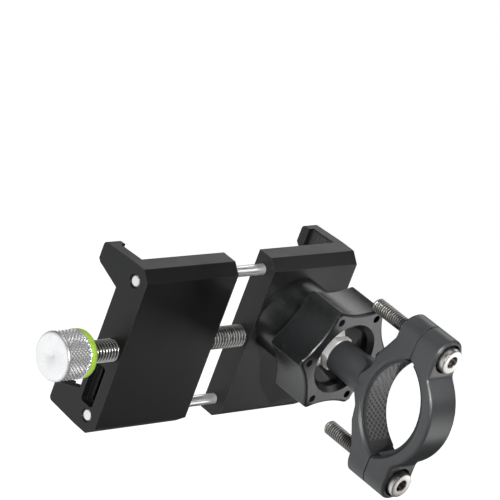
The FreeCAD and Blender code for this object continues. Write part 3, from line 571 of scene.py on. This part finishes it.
def clamp_bolt(node, body):
    """A socket head bolt with a real M4 thread."""
    low, high = node_box(node)
    height = (low.z + high.z) / 2
    head, end = low.y, high.y
    key, key_depth, head_height = 3.0, 2.2, 4.0
    head_radius, shank, pitch, lead = 3.5, 2.0, 0.7, 0.6
    drill_point, mouth, mouth_round, mouth_gap = 0.25, 0.2, 1.16, 0.05
    edge, under_edge, thread_gap, tip_drop = 0.35, 0.1, 0.05, 0.22
    under = head + head_height
    hexagon = hexagonal(key)
    profile = [
        (head + key_depth, lambda angle: 0.45 * hexagon(angle)),
        (head + key_depth - drill_point, hexagon),
        (head + mouth, hexagon),
        (head, lambda angle: max(hexagon(angle), key / 2 * mouth_round) + mouth_gap),
    ]
    profile += round_corner(head, head_radius, edge, True)
    profile += [(under - under_edge, head_radius), (under, head_radius - under_edge)]
    profile.append((under, shank))
    profile += threaded(under + thread_gap, end - lead, shank, pitch)
    profile += [(end - lead * 0.5, shank - tip_drop), (end, shank - lead)]
    name, centre = node + ".threaded", (0.0, 0.0, height)
    lathed(name, node, "y", centre, profile, stainless_y, body, 72, 30)


clamp_bolt("clamp_bolt_upper", "upper_bolt")
clamp_bolt("clamp_bolt_lower", "lower_bolt")


# --- ball joint -----------------------------------------------------------------------------------


def soft_ring(node, body, axis, material):
    """A rubber ring, slightly flattened where it is pressed."""
    low, high = node_box(node)
    centre = (low + high) / 2
    along = 0 if axis == "x" else 1
    section = (high[along] - low[along]) / 2
    mean = (high.z - low.z) / 2 - section
    first, second, forward = frame_along(axis)
    around, sides = 144, 28
    pressed_inside, pressed_sides, seam_height, seam_width = 0.96, 0.98, 0.03, 0.12
    points = []
    for i in range(around):
        angle = TURN * i / around
        outward = first * math.cos(angle) + second * math.sin(angle)
        for j in range(sides):
            turn = TURN * j / sides
            flat = 1.0 if math.cos(turn) > 0 else pressed_inside
            seam = seam_height if abs(math.sin(turn)) < seam_width else 0.0
            out = (section + seam) * math.cos(turn) * flat
            aside = section * pressed_sides * math.sin(turn)
            points.append(centre + outward * (mean + out) + forward * aside)
    faces = []
    for i in range(around):
        for j in range(sides):
            k, m = (i + 1) % around, (j + 1) % sides
            faces.append((i * sides + j, k * sides + j, k * sides + m, i * sides + m))
    piece = new_piece(node + ".ring", points, faces, material, body, 60)
    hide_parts(node)


def sphere_rings(centre, radius, start, end, steps):
    """Profile of a sphere around the place centre, from one place along the axis to another."""
    first, last = math.acos((centre - start) / radius), math.acos((centre - end) / radius)
    angles = [first + (last - first) * step / steps for step in range(steps + 1)]
    return [(centre - radius * math.cos(angle), radius * math.sin(angle)) for angle in angles]


def ball_stud():
    """The ball with its neck, hexagon collar and M6 end."""
    low, high = node_box("ball_stud")
    ball, clearance = (high.z - low.z) / 2, 0.02
    middle = high.y - ball
    thread, pitch, lead, runout, undercut = 3.0, 1.0, 0.6, 0.5, 0.1
    length, flats, collar, neck, edge = 9.0, 8.8, 2.3, 3.6, 0.25
    # The sphere ends just before its pole, where a ring of points would have no size.
    pole = 0.9999
    tip = low.y + length
    smooth = ball - clearance
    corner = hexagonal(flats)

    def bevelled(angle):
        return min(corner(angle), flats / 2 * 1.05)

    profile = [(low.y, thread - lead)]
    profile += threaded(low.y + lead, tip - runout, thread, pitch)
    profile += [
        (tip, thread - undercut),
        (tip, bevelled),
        (tip + edge, corner),
        (tip + collar - edge, corner),
        (tip + collar, bevelled),
        (tip + collar, neck),
    ]
    shoulder = middle - math.sqrt(smooth**2 - neck**2)
    profile += sphere_rings(middle, smooth, shoulder, middle + smooth * pole, 48)
    name, node, centre = "ball_stud.turned", "ball_stud", (0, 0, 0)
    # The stud's thread roots get only a faint painted shade: the full shade needs a 5 mm deep
    # groove.
    lathed(
        name,
        node,
        "y",
        centre,
        profile,
        stud_steel,
        "clamp",
        144,
        sharp_degrees=30,
        root_shade=5.0,
    )


def seat_ring():
    """The front seat: spherical where it holds the ball, flared towards the stem."""
    low, high = node_box("seat_ring")
    outside, middle, bore = (high.z - low.z) / 2, 34.2, 7.53
    flare, opening, narrow, edge = 9.0, 6.2, 29.9, 0.2
    profile = [(low.y, flare), (low.y, outside - edge), (low.y + edge, outside)]
    profile += [(high.y - edge, outside), (high.y, outside - edge)]
    start = middle - math.sqrt(bore**2 - opening**2)
    profile += reversed(sphere_rings(middle, bore, start, high.y, 12))
    profile.append((narrow, opening))
    name, node, centre = "seat_ring.turned", "seat_ring", (0, 0, 0)
    lathed(
        name,
        node,
        "y",
        centre,
        profile,
        black_nylon,
        "front_seat",
        144,
        ring=True,
    )


softened("collar_nut", satin_black, "nut", 0.45)
softened("ball_socket", satin_black, "holder", 0.25)
seat_ring()
dress("seat_cup", black_nylon)
ball_stud()
softened("socket_screws", stainless_y, "holder", 0.12)
soft_ring("preload_o_ring", "preload", "y", black_rubber)


# --- jaws -----------------------------------------------------------------------------------------


softened("fixed_jaw", black, "holder", 0.3)
softened("moving_jaw", black, "jaw", 0.3)


def face_pad(node, body):
    """A flat rubber pad with shallow ribs along its height."""
    low, high = node_box(node)
    pitch, depth, border, soft, rim_share = 1.8, 0.22, 1.2, 0.25, 0.6

    def place(u, v, front):
        across = low.x + (high.x - low.x) * u
        height = low.z + (high.z - low.z) * v
        if not front:
            return across, low.y, height, 0.0
        side = min(across - low.x, high.x - across)
        end = min(height - low.z, high.z - height)
        inside = min(1.0, max(0.0, (min(side, end) - border) / soft))
        wave = 0.5 - 0.5 * math.cos(TURN * (across - low.x) / pitch)
        rim = soft - min(soft, side, end)
        rounding = (soft - math.sqrt(max(0.0, soft**2 - rim**2))) * rim_share
        drop = depth * inside * wave**3 + rounding
        return across, high.y - drop, height, 0.0

    name = node + ".ribbed"
    relief_pad(name, node, place, 150, 60, black_rubber, body)


face_pad("fixed_face_pad", "holder")
face_pad("moving_face_pad", "jaw")


def claw_pads(node, body, side):
    """The two small ribbed pads inside a jaw's claws. side is the direction of the wall along X."""
    low, high = node_box(node)
    face, back = (low.x, high.x) if side > 0 else (high.x, low.x)
    length, pitch, depth, border, rounding = 6.0, 1.4, 0.14, 0.5, 0.12
    for name, bottom in (("upper", high.z - length), ("lower", low.z)):

        def place(u, v, front, bottom=bottom):
            along = low.y + (high.y - low.y) * u
            height = bottom + length * v
            if not front:
                return back, along, height, 0.0
            end_gap = min(height - bottom, bottom + length - height)
            gap = min(along - low.y, high.y - along, end_gap)
            inside = min(1.0, gap / border)
            wave = 0.5 - 0.5 * math.cos(TURN * (along - low.y) / pitch)
            drop = depth * wave**2 * inside + rounding * (1 - inside)
            return face + side * drop, along, height, 0.0

        # The first pad made stands for the CAD node of both.
        pad_node = node if name == "upper" else None
        piece_name = f"{node}.{name}"
        relief_pad(piece_name, pad_node, place, 70, 24, black_rubber, body)


claw_pads("fixed_claw_pads", "holder", 1)
claw_pads("moving_claw_pads", "jaw", -1)


def guide_rod(node):
    """A ground rod with rounded ends."""
    low, high = node_box(node)
    centre = (low + high) / 2
    radius = (high.z - low.z) / 2
    edge, first_ring, ring_step = 0.35, 2, 6
    profile = round_corner(low.x, radius, edge, True)
    rings = range(int(low.x) + first_ring, int(high.x), ring_step)
    profile += [(place, radius) for place in rings]
    profile += round_corner(high.x, radius, edge, False)
    centre.x = 0
    name = node + ".ground"
    lathed(name, node, "x", centre, profile, polished_steel, "holder", 48)


guide_rod("guide_rod_upper")
guide_rod("guide_rod_lower")


# --- screw and knob -------------------------------------------------------------------------------


def clamp_screw():
    """The M6 screw with its plain journal and clip groove."""
    low, high = node_box("clamp_screw")
    centre = (low + high) / 2
    centre.x = 0
    thread, pitch, lead, start, shoulder_edge = 3.0, 1.0, 0.4, 2.4, 2.7
    shoulder, journal, edge = 5.95, 2.5, 0.3
    groove, groove_radius, groove_width = 17.25, 1.9, 0.7
    profile = [(low.x, start)]
    profile += threaded(low.x + lead, shoulder - lead, thread, pitch)
    profile += [(shoulder, shoulder_edge), (shoulder, journal)]
    profile += [(groove, journal), (groove, groove_radius)]
    profile += [(groove + groove_width, groove_radius), (groove + groove_width, journal)]
    profile += round_corner(high.x, journal, edge, False)
    name, node = "clamp_screw.threaded", "clamp_screw"
    lathed(name, node, "x", centre, profile, stainless_x, "screw", 60, 30)


def knob():
    """The knob: diamond knurl, a flat bevelled end with a centre mark, and a hub for the ring."""
    low, high = node_box("knob")
    centre = (low + high) / 2
    centre.x = 0
    radius = (high.z - low.z) / 2
    bore, bore_end, hub, shoulder = 3.03, -76.0, 4.35, -70.0
    hub_edge, mark, mark_depth, mark_tip = 0.15, 0.4, 0.25, 0.1
    back_drop, rim_edge, rim_drop = 0.8, 0.25, 0.35
    around, cells, depth, line_width = 36, 8, 0.42, 0.5
    knurl_gap, front_round, fade_rows, round_steps = 0.5, 0.85, 3, 6
    pitch = TURN * radius / around
    knurl_end = shoulder - knurl_gap
    rows = int((knurl_end - low.x - front_round) / pitch * cells)

    def knurled(row):
        fade = min(1.0, row / fade_rows, (rows - row) / fade_rows)

        def reach(angle):
            turn, step = around * angle / TURN, row / cells
            return radius - depth * fade * lattice(turn + step, turn - step, line_width)

        return reach

    profile = [(bore_end, bore), (high.x, bore)]
    profile += [(high.x, hub - hub_edge), (high.x - hub_edge, hub), (shoulder, hub)]
    profile += [(shoulder, radius - back_drop), (shoulder - rim_edge, radius - rim_drop)]
    for row in range(rows + 1):
        profile.append((knurl_end - row * pitch / cells, knurled(row)))
    bend = profile[-1][0] - low.x
    for step in range(1, round_steps + 1):
        angle = math.pi / 2 * step / round_steps
        place = low.x + bend * (1 - math.sin(angle))
        profile.append((place, radius - bend * (1 - math.cos(angle))))
    profile += [(low.x, mark), (low.x + mark_depth, mark_tip)]
    name, node = "knob.knurled", "knob"
    lathed(
        name,
        node,
        "x",
        centre,
        profile,
        aluminium,
        "screw",
        around * cells,
        sharp_degrees=40,
        fold=True,
    )


clamp_screw()
knob()
soft_ring("knob_o_ring", "screw", "x", lime)
softened("screw_e_clip", spring_steel, "screw", 0.08)


# --- stage: metres --------------------------------------------------------------------------------


def floor():
    """A pale floor below the mount. Only a camera above it sees it, so it does not light the black
    parts."""
    size, drop = 8.0, 0.35
    mesh = bpy.data.meshes.new("floor")
    corners = [(-size, -size), (size, -size), (size, size), (-size, size)]
    mesh.from_pydata([(x, y, -drop) for x, y in corners], [], [(0, 1, 2, 3)])
    piece = bpy.data.objects.new("floor", mesh)
    bpy.context.scene.collection.objects.link(piece)
    shader = Shader("floor", Roughness=0.9)
    paper = shader.mixed(shader.noise(3.0), grey(0.9), grey(0.93))
    shader.colour(paper)
    shader.set(shader.surface.inputs["Emission Color"], paper)
    below = shader.node("ShaderNodeNewGeometry").outputs["Backfacing"]
    camera_ray = shader.node("ShaderNodeLightPath").outputs["Is Camera Ray"]
    seen = shader.maths("MULTIPLY", camera_ray, shader.maths("SUBTRACT", 1.0, below))
    shader.set(shader.surface.inputs["Emission Strength"], seen)
    clear = shader.node("ShaderNodeBsdfTransparent").outputs["BSDF"]
    blend = shader.tree.nodes.new("ShaderNodeMixShader")
    shader.set(blend.inputs[0], seen)
    shader.set(blend.inputs[1], clear)
    shader.set(blend.inputs[2], shader.surface.outputs["BSDF"])
    shader.set(shader.tree.nodes["Material Output"].inputs["Surface"], blend.outputs[0])
    mesh.materials.append(shader.material)


def area_light(name, place, size, radiance):
    """A soft box that looks at the middle of the mount."""
    middle = Vector((-0.02, 0.03, 0.0))
    data = bpy.data.lights.new(name, "AREA")
    data.shape = "RECTANGLE"
    data.size, data.size_y = size
    data.energy = radiance * math.pi * data.size * data.size_y
    light = bpy.data.objects.new(name, data)
    light.location = place
    light.rotation_euler = (middle - Vector(place)).to_track_quat("-Z", "Y").to_euler()
    light.visible_camera = False
    bpy.context.scene.collection.objects.link(light)


def snoot(name, place, target, power, degrees):
    """A narrow beam on one small part."""
    data = bpy.data.lights.new(name, "SPOT")
    data.energy = power
    data.spot_size = math.radians(degrees)
    data.spot_blend = 0.6
    data.shadow_soft_size = 0.03
    light = bpy.data.objects.new(name, data)
    light.location = place
    light.rotation_euler = (Vector(target) - Vector(place)).to_track_quat("-Z", "Y").to_euler()
    bpy.context.scene.collection.objects.link(light)


def camera():
    """The photograph's viewpoint, in millimetres: from the clamp's side, above, and rolled."""
    azimuth, elevation, roll = math.radians(-50.803), math.radians(23.068), math.radians(20.657)
    distance, sensor, focal = 842.071, 36.0, 229.62
    across, up = 10.16, 20.97
    target = Vector((-18.8, 53.35, -7.6))
    back = Vector(
        (
            math.sin(azimuth) * math.cos(elevation),
            -math.cos(azimuth) * math.cos(elevation),
            math.sin(elevation),
        )
    )
    right = Vector((-back.y, back.x, 0)).normalized()
    above = back.cross(right)
    image_right = right * math.cos(roll) + above * math.sin(roll)
    image_up = above * math.cos(roll) - right * math.sin(roll)
    data = bpy.data.cameras.new("camera")
    data.sensor_width = sensor
    data.lens = focal
    data.clip_start, data.clip_end = 0.05, 50.0
    item = bpy.data.objects.new("camera", data)
    turn = Matrix((image_right, image_up, back)).transposed().to_4x4()
    place = target + back * distance + image_right * across + image_up * up
    item.matrix_world = Matrix.Translation(place * MM) @ turn
    bpy.context.scene.collection.objects.link(item)
    bpy.context.scene.camera = item


def studio():
    """A world that is brightest from the left and below and dark in front, five soft boxes and two
    narrow beams."""
    world = bpy.data.worlds.new("studio")
    bpy.context.scene.world = world
    world.use_nodes = True
    tree = world.node_tree
    place = tree.nodes.new("ShaderNodeTexCoord")
    turned = tree.nodes.new("ShaderNodeVectorMath")
    turned.operation = "DOT_PRODUCT"
    turned.inputs[1].default_value = (-0.62, 0.45, -0.64)
    ramp = tree.nodes.new("ShaderNodeMapRange")
    ramp.inputs["From Min"].default_value = 0.1
    ramp.inputs["From Max"].default_value = 0.95
    ramp.inputs["To Min"].default_value = 0.05
    ramp.inputs["To Max"].default_value = 1.05
    tree.links.new(place.outputs["Generated"], turned.inputs[0])
    tree.links.new(turned.outputs["Value"], ramp.inputs["Value"])
    seen = tree.nodes.new("ShaderNodeLightPath").outputs["Is Camera Ray"]
    plain = tree.nodes.new("ShaderNodeMath")
    plain.operation = "MAXIMUM"
    tree.links.new(ramp.outputs["Result"], plain.inputs[0])
    tree.links.new(seen, plain.inputs[1])
    tree.links.new(plain.outputs["Value"], tree.nodes["Background"].inputs["Strength"])
    tree.nodes["Background"].inputs["Color"].default_value = (0.98, 0.99, 1.0, 1)
    area_light("key", (0.57, 0.42, 0.36), (0.45, 0.35), 1.8)
    area_light("strip", (0.62, -0.45, 0.38), (0.35, 0.35), 1.6)
    area_light("low_right", (0.24, -0.16, -0.09), (0.14, 0.14), 2.4)
    area_light("front", (-0.62, -0.42, 0.42), (0.3, 0.3), 2.2)
    area_light("top", (-0.1, 0.2, 0.8), (0.5, 0.5), 0.9)
    snoot("nut_snoot", (-0.36, -0.52, 0.36), (-0.004, 0.0262, 0.0035), 200.0, 2.0)
    snoot("knob_snoot", (-0.5, -0.45, 0.3), (-0.074, 0.05, -0.008), 20.0, 4.5)
    bpy.context.scene.view_settings.view_transform = "Standard"


floor()
studio()
camera()
